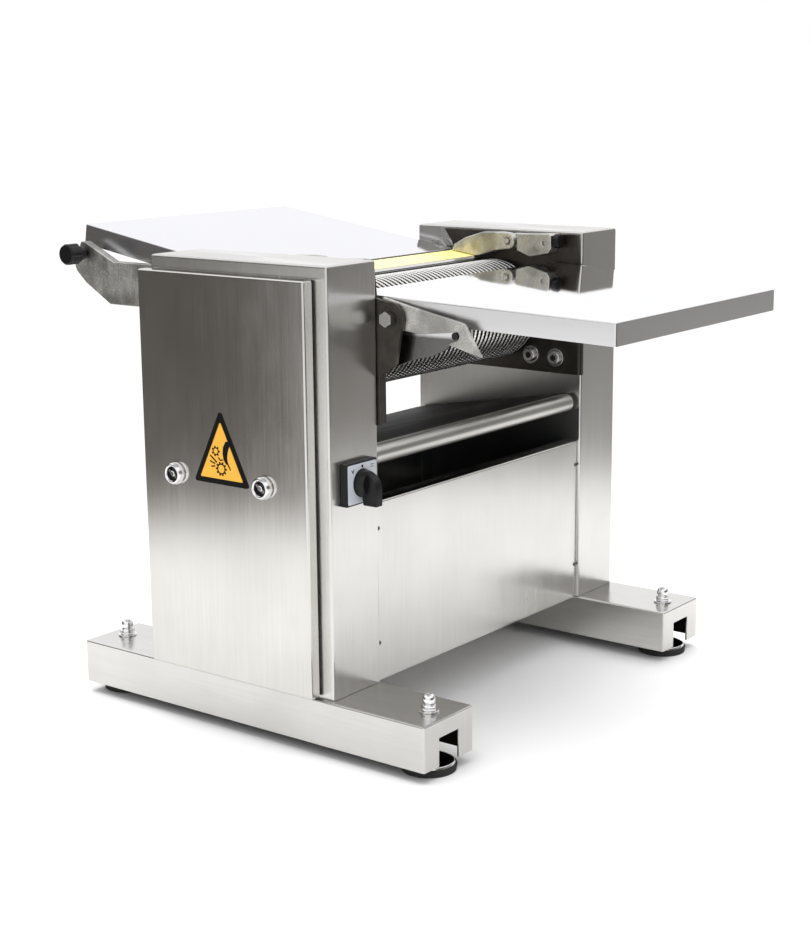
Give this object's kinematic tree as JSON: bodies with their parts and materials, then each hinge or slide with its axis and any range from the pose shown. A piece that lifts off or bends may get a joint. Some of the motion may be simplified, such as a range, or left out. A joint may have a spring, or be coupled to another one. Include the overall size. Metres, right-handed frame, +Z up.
{
  "type": "pork skinning machine",
  "caption": "Bench-top, open-top skinning machine: toothed feed roller under a hinged blade holder, two stainless work tables, side boxes with the drive, rotary switch, levelling feet.",
  "frame": {"origin": "centre of the bounding box's footprint, on the surface the feet stand on", "axes": "+X from the drive box on the left to the plain box on the right, +Y from the operator to the rear table, +Z up"},
  "size_m": [0.64, 0.7894, 0.5805],
  "materials": {
    "brushed": "brushed stainless sheet, grain along the folds",
    "polished": "polished stainless sheet",
    "cast": "blasted and tumbled stainless casting",
    "tooth": "milled stainless teeth and rings",
    "chrome": "bright plated fastener",
    "dark_steel": "dark oiled steel",
    "blade": "ground blade steel",
    "bronze": "plain bronze bush",
    "black_plastic": "moulded black plastic",
    "white_plastic": "moulded light grey plastic",
    "rubber": "matt black rubber",
    "motor_paint": "dark blue-grey machine paint"
  },
  "bodies": {
    "frame": {"foot_beam_left": "brushed", "foot_beam_right": "brushed", "side_box_left": "brushed", "side_box_right": "brushed", "table_hook_left": "cast", "table_hook_right": "cast", "hook_bolt_left": "chrome", "hook_bolt_right": "chrome", "rear_bracket_left": "cast", "rear_bracket_right": "cast", "holder_bracket_left": "cast", "holder_bracket_right": "cast", "bearing_plate_left": "dark_steel", "bearing_plate_right": "dark_steel", "roller_bush_left": "bronze", "roller_bush_right": "bronze", "front_panel": "brushed", "rear_panel": "brushed", "base_plate": "brushed", "rind_tray": "brushed", "stripper_comb": "brushed", "drive_chain": "dark_steel", "gearmotor": "motor_paint", "control_box": "white_plastic", "cover_gasket": "rubber", "switch_base": "black_plastic", "cable_gland": "black_plastic", "cap_nut_front_left": "chrome", "cap_nut_front_right": "chrome", "cap_nut_rear_left": "chrome", "cap_nut_rear_right": "chrome"},
    "roller": {"tooth_roller": "tooth", "roller_sprocket": "dark_steel"},
    "motor_wheel": {"motor_sprocket": "dark_steel"},
    "front_table": {"front_table": "polished"},
    "rear_table": {"rear_table": "polished"},
    "blade_holder": {"blade_holder": "brushed", "skinning_blade": "blade", "blade_clamp": "brushed", "holder_arm_left": "cast", "holder_arm_right": "cast"},
    "depth_knob_left": {"depth_knob_left": "black_plastic"},
    "depth_knob_right": {"depth_knob_right": "black_plastic"},
    "table_clamp_left": {"table_clamp_left": "black_plastic"},
    "table_clamp_right": {"table_clamp_right": "black_plastic"},
    "gear_cover": {"gear_cover": "brushed"},
    "cover_lock_front": {"cover_lock_front": "chrome"},
    "cover_lock_rear": {"cover_lock_rear": "chrome"},
    "switch_handle": {"switch_handle": "black_plastic"},
    "foot_front_left": {"foot_pad_front_left": "rubber", "foot_stud_front_left": "chrome"},
    "foot_front_right": {"foot_pad_front_right": "rubber", "foot_stud_front_right": "chrome"},
    "foot_rear_left": {"foot_pad_rear_left": "rubber", "foot_stud_rear_left": "chrome"},
    "foot_rear_right": {"foot_pad_rear_right": "rubber", "foot_stud_rear_right": "chrome"}
  },
  "joints": [
    {"name": "roller_spin", "type": "hinge", "parent": "frame", "child": "roller", "pos_m": [0.01, 0.0227, 0.456], "axis": [1, 0, 0], "continuous": true},
    {"name": "motor_wheel_spin", "type": "hinge", "parent": "frame", "child": "motor_wheel", "pos_m": [-0.252, 0.0227, 0.178], "axis": [1, 0, 0], "continuous": true},
    {"name": "front_table_tilt", "type": "hinge", "parent": "frame", "child": "front_table", "pos_m": [0.01, -0.2083, 0.4835], "axis": [-1, 0, 0], "range_deg": [0, 17]},
    {"name": "rear_table_tilt", "type": "hinge", "parent": "frame", "child": "rear_table", "pos_m": [0.01, 0.3687, 0.546], "axis": [-1, 0, 0], "range_deg": [0, 70]},
    {"name": "blade_holder_tilt", "type": "hinge", "parent": "frame", "child": "blade_holder", "pos_m": [0.01, -0.0053, 0.548], "axis": [1, 0, 0], "range_deg": [0, 70]},
    {"name": "depth_knob_left_turn", "type": "hinge", "parent": "frame", "child": "depth_knob_left", "pos_m": [-0.191, -0.0718, 0.5503], "axis": [0, -1, 0], "range_deg": [-180, 180]},
    {"name": "depth_knob_right_turn", "type": "hinge", "parent": "frame", "child": "depth_knob_right", "pos_m": [0.211, -0.0718, 0.5503], "axis": [0, -1, 0], "range_deg": [-180, 180]},
    {"name": "table_clamp_left_turn", "type": "hinge", "parent": "frame", "child": "table_clamp_left", "pos_m": [-0.2074, 0.3687, 0.546], "axis": [-1, 0, 0], "range_deg": [0, 360]},
    {"name": "table_clamp_right_turn", "type": "hinge", "parent": "frame", "child": "table_clamp_right", "pos_m": [0.2274, 0.3687, 0.546], "axis": [1, 0, 0], "range_deg": [0, 360]},
    {"name": "gear_cover_lift_off", "type": "slide", "parent": "frame", "child": "gear_cover", "axis": [-1, 0, 0], "range_m": [0, 0.15]},
    {"name": "cover_lock_front_turn", "type": "hinge", "parent": "gear_cover", "child": "cover_lock_front", "pos_m": [-0.311, -0.0213, 0.31], "axis": [-1, 0, 0], "range_deg": [0, 90]},
    {"name": "cover_lock_rear_turn", "type": "hinge", "parent": "gear_cover", "child": "cover_lock_rear", "pos_m": [-0.311, 0.1157, 0.31], "axis": [-1, 0, 0], "range_deg": [0, 90]},
    {"name": "switch_turn", "type": "hinge", "parent": "frame", "child": "switch_handle", "pos_m": [-0.249, -0.113, 0.3165], "axis": [0, -1, 0], "range_deg": [0, 45]},
    {"name": "foot_front_left_level", "type": "slide", "parent": "frame", "child": "foot_front_left", "axis": [0, 0, -1], "range_m": [0, 0.008]},
    {"name": "foot_front_right_level", "type": "slide", "parent": "frame", "child": "foot_front_right", "axis": [0, 0, -1], "range_m": [0, 0.008]},
    {"name": "foot_rear_left_level", "type": "slide", "parent": "frame", "child": "foot_rear_left", "axis": [0, 0, -1], "range_m": [0, 0.008]},
    {"name": "foot_rear_right_level", "type": "slide", "parent": "frame", "child": "foot_rear_right", "axis": [0, 0, -1], "range_m": [0, 0.008]}
  ],
  "couplings": [
    {"joint": "motor_wheel_spin", "follows": "roller_spin", "ratio": 2}
  ]
}
